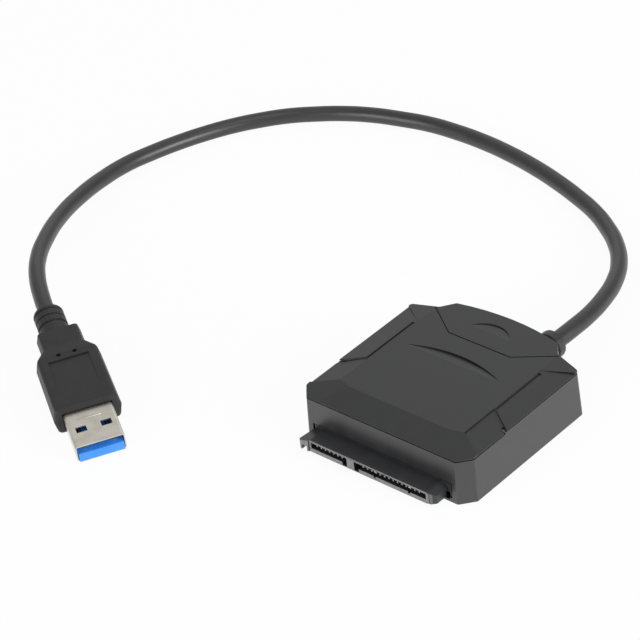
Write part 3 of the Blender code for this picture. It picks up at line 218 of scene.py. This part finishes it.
# %% [markdown]
# ## Noise, and what it drives
# All the textures here are one kind of noise, measured in the object's own metres, so that a
# grain has its real size on every piece. A ramp turns the noise into colour, a map range into a
# little more or less gloss, and a bump into relief.

# %% Helpers for noise, colour, gloss and relief
RAMP_FROM, RAMP_TO = 0.35, 0.65


def noise(tree, scale, detail, stretch=(1.0, 1.0, 1.0)):
    """Noise in the object's own coordinates, at a scale counted per metre."""
    place = tree.nodes.new("ShaderNodeTexCoord")
    squeeze = add_node(tree, "ShaderNodeMapping", Scale=stretch)
    texture = add_node(tree, "ShaderNodeTexNoise", Scale=scale, Detail=detail)
    tree.links.new(place.outputs["Object"], squeeze.inputs["Vector"])
    tree.links.new(squeeze.outputs["Vector"], texture.inputs["Vector"])
    return texture.outputs["Fac"]


def ramp(tree, value, low, high):
    """A two-colour ramp over a value."""
    node = tree.nodes.new("ShaderNodeValToRGB")
    node.color_ramp.elements[0].position = RAMP_FROM
    node.color_ramp.elements[1].position = RAMP_TO
    node.color_ramp.elements[0].color = (*low, 1.0)
    node.color_ramp.elements[1].color = (*high, 1.0)
    tree.links.new(value, node.inputs["Fac"])
    return node.outputs["Color"]


def drifting_gloss(tree, shader, value, smoothest, roughest):
    """Roughness that follows a value between two limits."""
    gloss = add_node(tree, "ShaderNodeMapRange", To_Min=smoothest, To_Max=roughest)
    tree.links.new(value, gloss.inputs["Value"])
    tree.links.new(gloss.outputs["Result"], shader.inputs["Roughness"])


def grain(tree, shader, value, strength, distance):
    """A bump on the shader from a height value."""
    bump = add_node(tree, "ShaderNodeBump", Strength=strength, Distance=distance)
    tree.links.new(value, bump.inputs["Height"])
    tree.links.new(bump.outputs["Normal"], shader.inputs["Normal"])


print("helpers ready: noise, ramp, drifting_gloss, grain")

# %% [markdown]
# ## Moulded plastic and rubber
# The box is grained black plastic with faint darker clouds where the mould's texture varies, and
# the cable and grip are smooth rubber of the same make. One function can serve them all: a broad
# noise shifts colour and gloss a little, and a fine one gives the grain as bump. What differs is
# the darkness, the gloss and the size of the grain.

# %% One function for every moulded skin
CLOUD_SCALE = 260.0
MOULD_DETAIL = 3.0
MOULD_BUMP = 0.35
MOULD_SMOOTHER, MOULD_ROUGHER = 0.05, 0.06


def moulded_plastic(name, dark, light, roughness, specular, grain_scale, grain_depth):
    """Grained plastic with a slight drift of colour and gloss."""
    finish, tree, shader = new_finish(name, roughness)
    shader.inputs["Specular IOR Level"].default_value = specular
    clouds = noise(tree, CLOUD_SCALE, MOULD_DETAIL)
    tree.links.new(ramp(tree, clouds, dark, light), shader.inputs["Base Color"])
    drifting_gloss(tree, shader, clouds, roughness - MOULD_SMOOTHER, roughness + MOULD_ROUGHER)
    grain(tree, shader, noise(tree, grain_scale, MOULD_DETAIL), MOULD_BUMP, grain_depth)
    return finish


print("moulded skins: cloud scale per metre", CLOUD_SCALE)

# %% [markdown]
# ## Black skins of the box and cable
# The lid is almost matt. The tray comes from a smoother mould, so its walls shine more and mirror
# the pale desk, and its colour is painted a little paler than the lid's, which stands in for the
# light on its walls. The receptacle is a greyer, stiffer plastic, and the grip is duller than the
# cable's jacket. Each gets its own material, because one shared black would hide these steps.

# %% Lid, tray, receptacle, jacket and grip
housing_plastic = moulded_plastic(
    "housing_plastic", dark=(0.0080, 0.0082, 0.0096), light=(0.0105, 0.0108, 0.0124),
    roughness=0.40, specular=0.67, grain_scale=5200.0, grain_depth=0.00002)
# The tray's paler colour is painted light for its brighter walls; its gloss is its own.
tray_plastic_painted_light = moulded_plastic(
    "tray_plastic_painted_light", dark=(0.0125, 0.0127, 0.0135), light=(0.0160, 0.0163, 0.0172),
    roughness=0.34, specular=1.0, grain_scale=5200.0, grain_depth=0.00001)
receptacle_plastic = moulded_plastic(
    "receptacle_plastic", dark=(0.023, 0.0235, 0.0255), light=(0.028, 0.0285, 0.031),
    roughness=0.38, specular=0.55, grain_scale=4200.0, grain_depth=0.00001)
jacket_rubber = moulded_plastic(
    "jacket_rubber", dark=(0.0105, 0.0105, 0.0108), light=(0.0140, 0.0140, 0.0144),
    roughness=0.38, specular=0.80, grain_scale=2600.0, grain_depth=0.00002)
grip_rubber = moulded_plastic(
    "grip_rubber", dark=(0.015, 0.015, 0.0158), light=(0.019, 0.019, 0.0202),
    roughness=0.48, specular=0.42, grain_scale=4600.0, grain_depth=0.00002)
BLACK_SKINS = (housing_plastic, tray_plastic_painted_light, receptacle_plastic, jacket_rubber, grip_rubber)
print("black skins:", ", ".join(finish.name for finish in BLACK_SKINS))

# %% [markdown]
# ## Painted light on the front face of the receptacle
# The faces that meet the drive look paler than the rest, because they face the pale desk and the
# front lamp. That light could come from a plate of its own, but it is one moulding with the rest,
# so a mask from the surface's own place and direction finds the faces that look forward and lie at
# the
# mouth, and paints them a noisy grey: a painted reflection, not a colour of the plastic.

# %% Painted light on the receptacle's front faces
MOUTH_PLANE_Y = -0.0293
MOUTH_DEPTH = 0.0007
FULLY_PALE_DEPTH = MOUTH_DEPTH * 0.7
ASLANT, FORWARD = -0.55, -0.9
# Noise size and the two greys of the painted reflection on the forward faces.
PAINTED_LIGHT_SCALE = 1500.0
PAINTED_LIGHT_DARK = (0.16, 0.16, 0.162)
PAINTED_LIGHT_BRIGHT = (0.23, 0.23, 0.232)


def paint_front_light(finish):
    """Paint a noisy grey, a painted reflection, on the forward faces close to the mouth's plane.
    """
    tree = finish.node_tree
    shader = tree.nodes["Principled BSDF"]
    body_colour = shader.inputs["Base Color"].links[0].from_socket
    surface = tree.nodes.new("ShaderNodeNewGeometry")
    place = tree.nodes.new("ShaderNodeSeparateXYZ")
    facing = tree.nodes.new("ShaderNodeSeparateXYZ")
    tree.links.new(surface.outputs["Position"], place.inputs[0])
    tree.links.new(surface.outputs["Normal"], facing.inputs[0])
    near = add_node(tree, "ShaderNodeMapRange", From_Min=MOUTH_PLANE_Y + MOUTH_DEPTH,
                    From_Max=MOUTH_PLANE_Y + FULLY_PALE_DEPTH)
    tree.links.new(place.outputs["Y"], near.inputs["Value"])
    forward = add_node(tree, "ShaderNodeMapRange", From_Min=ASLANT, From_Max=FORWARD)
    tree.links.new(facing.outputs["Y"], forward.inputs["Value"])
    both = tree.nodes.new("ShaderNodeMath")
    both.operation = "MULTIPLY"
    tree.links.new(near.outputs["Result"], both.inputs[0])
    tree.links.new(forward.outputs["Result"], both.inputs[1])
    blend = tree.nodes.new("ShaderNodeMix")
    blend.data_type = "RGBA"
    # A noisy grey that is painted light: the desk's reflection on the forward faces.
    painted_front_light = ramp(tree, noise(tree, PAINTED_LIGHT_SCALE, MOULD_DETAIL), PAINTED_LIGHT_DARK, PAINTED_LIGHT_BRIGHT)
    tree.links.new(both.outputs[0], blend.inputs["Factor"])
    tree.links.new(body_colour, blend.inputs["A"])
    tree.links.new(painted_front_light, blend.inputs["B"])
    tree.links.new(blend.outputs["Result"], shader.inputs["Base Color"])


# The receptacle gets its painted reflection on the forward faces.
paint_front_light(receptacle_plastic)
print("pale within mm of the mouth:", MOUTH_DEPTH * 1000)

# %% [markdown]
# ## Metals
# The plug's shell is rolled and plated steel: warm grey, with faint lines along its length. The
# contacts are gold over copper, and the jack's pin and the crystal's can are tinned. The lines
# could be cut into the mesh, but they are far thinner than a face, so noise that is stretched
# along one direction draws them in colour, gloss and bump.

# %% Steel, gold and tin
LINE_DETAIL = 4.0
LINE_BUMP = 0.2
LINE_SMOOTHER, LINE_ROUGHER = 0.06, 0.08


def plated_metal(name, dark, light, roughness, line_scale, stretch, depth):
    """Metal with lines stretched along one direction."""
    finish, tree, shader = new_finish(name, roughness, metallic=1.0)
    lines = noise(tree, line_scale, LINE_DETAIL, stretch)
    tree.links.new(ramp(tree, lines, dark, light), shader.inputs["Base Color"])
    drifting_gloss(tree, shader, lines, roughness - LINE_SMOOTHER, roughness + LINE_ROUGHER)
    grain(tree, shader, lines, LINE_BUMP, depth)
    return finish


shell_steel = plated_metal(
    "shell_steel", dark=(0.66, 0.625, 0.550), light=(0.76, 0.725, 0.648),
    roughness=0.30, line_scale=700.0, stretch=(0.4, 0.4, 2.5), depth=0.00002)
contact_gold = plated_metal(
    "contact_gold", dark=(0.78, 0.52, 0.18), light=(0.95, 0.70, 0.30),
    roughness=0.28, line_scale=2500.0, stretch=(3.0, 0.4, 1.0), depth=0.00001)
tinned = plated_metal(
    "tinned", dark=(0.55, 0.55, 0.56), light=(0.72, 0.72, 0.72),
    roughness=0.32, line_scale=1500.0, stretch=(1.0, 1.0, 1.0), depth=0.00001)
print("metals:", shell_steel.name, contact_gold.name, tinned.name)

# %% [markdown]
# ## Blue tongue and the board
# The plug's tongue is dyed nylon, with a slightly waxy skin. The board and its parts lie inside
# the closed box and could be left grey, but they get a finish too, so that an opened model looks
# right. They are moulded or coated, so the same function makes them.

# %% Blue nylon, board and chips
tongue_nylon = moulded_plastic(
    "tongue_nylon", dark=(0.030, 0.25, 0.82), light=(0.045, 0.28, 0.90),
    roughness=0.38, specular=0.80, grain_scale=3000.0, grain_depth=0.00001)
board_mask = moulded_plastic(
    "board_mask", dark=(0.010, 0.10, 0.045), light=(0.016, 0.14, 0.065),
    roughness=0.35, specular=0.5, grain_scale=900.0, grain_depth=0.00002)
chip_resin = moulded_plastic(
    "chip_resin", dark=(0.016, 0.016, 0.017), light=(0.026, 0.026, 0.028),
    roughness=0.60, specular=0.5, grain_scale=3500.0, grain_depth=0.00002)
print("nylon, board and chips:", tongue_nylon.name, board_mask.name, chip_resin.name)

# %% [markdown]
# ## Which piece has which finish
# The imported record names a material slot for every piece, such as steel or gold, so one table
# from slot to finish dresses them all, which is safer than naming 49 pieces. Two pieces differ
# from their slot: the tray has its own smoother skin, with a paler colour that is painted light,
# and the grommet is moulded with the jacket.

# %% Give every piece its finish
FINISH_OF_SLOT = {
    "black_plastic": housing_plastic,
    "connector_plastic": receptacle_plastic,
    "cable_rubber": grip_rubber,
    "steel": shell_steel,
    "gold": contact_gold,
    "tin": tinned,
    "blue_plastic": tongue_nylon,
    "board_green": board_mask,
    "chip_black": chip_resin,
}
for entry in frame["record"]["subparts"]:
    piece = NODES[entry["node"]]
    piece.data.materials.clear()
    piece.data.materials.append(FINISH_OF_SLOT[entry["material_slot"]])
# The tray gets its own finish, whose paler colour is painted light.
for name, finish in (("bottom_shell", tray_plastic_painted_light), ("cable_grommet", jacket_rubber)):
    NODES[name].data.materials[0] = finish
cable_jacket.data.materials.append(jacket_rubber)
print("finishes given to", len(NODES), "nodes")

# %% [markdown]
# ## The stamped line on the shell
# Behind the two windows the real shell carries one short stamped ridge. It could be raised in the
# shell's own mesh, but a CAD mesh isn't changed here, so a tiny lens-shaped bar is half sunk in
# the steel and rises about a sixth of a millimetre from it.

# %% Stamped ridge
RIDGE_HALF_SIZE = Vector((0.00026, 0.0030, 0.00017))
RIDGE_BACK = 0.0089
RIDGE_ASIDE = -0.0003
SHELL_TOP = 0.00225

ridge_place = PLUG @ Matrix.Translation((-RIDGE_BACK, RIDGE_ASIDE, SHELL_TOP))
ridge_mesh = bmesh.new()
bmesh.ops.create_uvsphere(ridge_mesh, u_segments=24, v_segments=12, radius=1.0)
bmesh.ops.scale(ridge_mesh, vec=RIDGE_HALF_SIZE, verts=ridge_mesh.verts)
bmesh.ops.transform(ridge_mesh, matrix=ridge_place, verts=ridge_mesh.verts)
for face in ridge_mesh.faces:
    face.smooth = True
ridge_data = bpy.data.meshes.new("shell_ridge")
ridge_mesh.to_mesh(ridge_data)
ridge_mesh.free()
ridge_data.materials.append(shell_steel)
shell_ridge = bpy.data.objects.new("shell_ridge", ridge_data)
bpy.context.scene.collection.objects.link(shell_ridge)
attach(shell_ridge, "root")
print("ridge width in mm:", round(RIDGE_HALF_SIZE.y * 2000, 2))

# %% [markdown]
# ## The floor
# The product stands on a white sweep. A curved sheet could be modelled, but no bend of it would
# show, so one large square does. It is stage, not part of the object.

# %% Floor
FLOOR_SIZE = 6.0
floor_mesh = bmesh.new()
bmesh.ops.create_grid(floor_mesh, x_segments=1, y_segments=1, size=FLOOR_SIZE / 2)
floor_data = bpy.data.meshes.new("studio_floor")
floor_mesh.to_mesh(floor_data)
floor_mesh.free()
studio_floor = bpy.data.objects.new("studio_floor", floor_data)
bpy.context.scene.collection.objects.link(studio_floor)
print("floor size in m:", FLOOR_SIZE)

# %% [markdown]
# ## White of the floor
# The photographed floor is nearly pure white, and still darkens a little under the object. More
# lamp light could do that, but it would wash out the black plastic too. So camera rays, and the
# rays that gloss mirrors, see mostly a plain white glow, while a small share stays a real matt
# surface that takes the shadow.

# %% White floor that keeps a shadow
WHITE = (1.0, 1.0, 1.0, 1.0)
PAPER = (0.85, 0.85, 0.85, 1.0)
GLOW_SHARE = 0.94

floor_finish = bpy.data.materials.new("studio_white")
floor_finish.use_nodes = True
floor_tree = floor_finish.node_tree
floor_tree.nodes.clear()
output = floor_tree.nodes.new("ShaderNodeOutputMaterial")
paper = add_node(floor_tree, "ShaderNodeBsdfDiffuse", Color=PAPER)
glow = add_node(floor_tree, "ShaderNodeEmission", Color=WHITE, Strength=1.0)
mix = floor_tree.nodes.new("ShaderNodeMixShader")
rays = floor_tree.nodes.new("ShaderNodeLightPath")
seen = floor_tree.nodes.new("ShaderNodeMath")
seen.operation = "MAXIMUM"
share = floor_tree.nodes.new("ShaderNodeMath")
share.operation = "MULTIPLY"
share.inputs[1].default_value = GLOW_SHARE
floor_tree.links.new(rays.outputs["Is Camera Ray"], seen.inputs[0])
floor_tree.links.new(rays.outputs["Is Glossy Ray"], seen.inputs[1])
floor_tree.links.new(seen.outputs[0], share.inputs[0])
floor_tree.links.new(share.outputs[0], mix.inputs["Fac"])
floor_tree.links.new(paper.outputs[0], mix.inputs[1])
floor_tree.links.new(glow.outputs[0], mix.inputs[2])
floor_tree.links.new(mix.outputs[0], output.inputs["Surface"])
floor_data.materials.append(floor_finish)
print("share of the floor that glows:", GLOW_SHARE)

# %% [markdown]
# ## World light
# A studio's white walls light the object a little from all sides. A picture of a room could be
# wrapped round the scene, but plain white gives the same even light. It is weak, so that black
# stays black, while camera rays see pure white where the floor ends.

# %% World light
WORLD_STRENGTH = 0.48
world = bpy.data.worlds.new("studio")
bpy.context.scene.world = world
world.use_nodes = True
sky = world.node_tree
sky.nodes.clear()
sky_output = sky.nodes.new("ShaderNodeOutputWorld")
sky_light = add_node(sky, "ShaderNodeBackground", Color=WHITE, Strength=WORLD_STRENGTH)
sky_white = add_node(sky, "ShaderNodeBackground", Color=WHITE, Strength=1.0)
sky_mix = sky.nodes.new("ShaderNodeMixShader")
sky_rays = sky.nodes.new("ShaderNodeLightPath")
sky.links.new(sky_rays.outputs["Is Camera Ray"], sky_mix.inputs["Fac"])
sky.links.new(sky_light.outputs[0], sky_mix.inputs[1])
sky.links.new(sky_white.outputs[0], sky_mix.inputs[2])
sky.links.new(sky_mix.outputs[0], sky_output.inputs["Surface"])
print("world strength:", WORLD_STRENGTH)

# %% [markdown]
# ## Lamps
# Walls, slopes and top of the real box step through clear greys, which large soft lights at
# different bearings give. Small lamps would leave hard spots and shadows, so each lamp is a
# square panel about a metre away. Strong ones from the right and the front light the walls, a
# weak one stands above, and faint ones behind put the sheen on the cable and the rear slopes.

# %% Soft panels round the object
LAMP_SIZE = 0.6
MIDDLE = Vector((-0.03, 0.0, 0.0))
PANELS = (  # name, bearing from +X and height in degrees, power in watts
    ("right_panel", 8, 18, 7.8),
    ("front_panel", 262, 18, 4.4),
    ("top_panel", 0, 78, 1.3),
    ("back_panel", 135, 20, 0.34),
    ("upper_back_panel", 112, 47, 0.42),
    ("upper_left_panel", 157, 47, 0.16),
)


def soft_panel(name, bearing, height, power):
    """A square lamp a metre away, aimed at the middle."""
    lamp = bpy.data.lights.new(name, "AREA")
    lamp.size = LAMP_SIZE
    lamp.energy = power
    panel = bpy.data.objects.new(name, lamp)
    bpy.context.scene.collection.objects.link(panel)
    bearing, height = math.radians(bearing), math.radians(height)
    flat = math.cos(height)
    panel.location = (flat * math.cos(bearing), flat * math.sin(bearing), math.sin(height))
    panel.rotation_euler = (MIDDLE - panel.location).to_track_quat("-Z", "Y").to_euler()


for panel in PANELS:
    soft_panel(*panel)
print("lamps:", ", ".join(panel[0] for panel in PANELS))

# %% [markdown]
# ## Colour settings and the end
# Blender's usual view softens bright colours. The Standard one shows each colour as it is
# written, so it is the one to compare with a photograph.

# %% Colour settings and finish
bpy.context.scene.view_settings.view_transform = "Standard"
